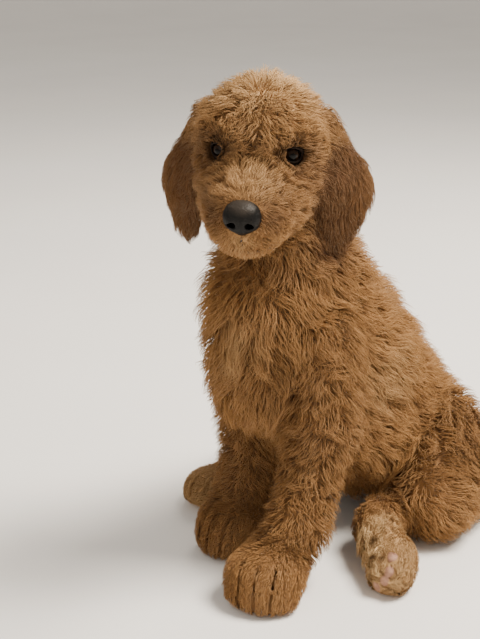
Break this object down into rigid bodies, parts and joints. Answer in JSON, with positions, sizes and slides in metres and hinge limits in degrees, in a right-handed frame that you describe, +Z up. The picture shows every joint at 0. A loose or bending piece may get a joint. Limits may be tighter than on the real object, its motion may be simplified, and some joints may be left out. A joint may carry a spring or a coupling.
{
  "type": "standard poodle puppy, sitting, as a museum model",
  "caption": "Life-size still model of a sitting young standard poodle with an apricot curly coat, its head turned to its left.",
  "frame": {"origin": "on the floor, under the middle of the dog's box", "axes": "+Z up, the dog faces -Y and its left side is +X; its head turns to its left"},
  "size_m": [0.2466, 0.4072, 0.3815],
  "materials": {
    "coat": "soft wavy apricot fleece, matt",
    "ear_coat": "long wavy darker apricot hair, matt",
    "nose_leather": "pebbled and slightly moist, satin",
    "eye": "very dark brown, wet and glossy",
    "pad": "soft pinkish pad leather, matt"
  },
  "bodies": {
    "root": {"ear_left": "ear_coat", "ear_right": "ear_coat", "eye_left": "eye", "eye_right": "eye", "nose": "nose_leather", "pads_fore_left": "pad", "pads_fore_right": "pad", "pads_hind_left": "pad", "pads_hind_right": "pad", "upper_arm_left": "coat", "forearm_left": "coat", "fore_paw_left": "coat", "upper_arm_right": "coat", "forearm_right": "coat", "fore_paw_right": "coat", "thigh_left": "coat", "shank_left": "coat", "hind_paw_left": "coat", "thigh_right": "coat", "shank_right": "coat", "hind_paw_right": "coat", "tail": "coat", "head": "coat", "jaw": "coat", "neck": "coat", "chest": "coat", "abdomen": "coat", "rump": "coat"}
  },
  "joints": []
}
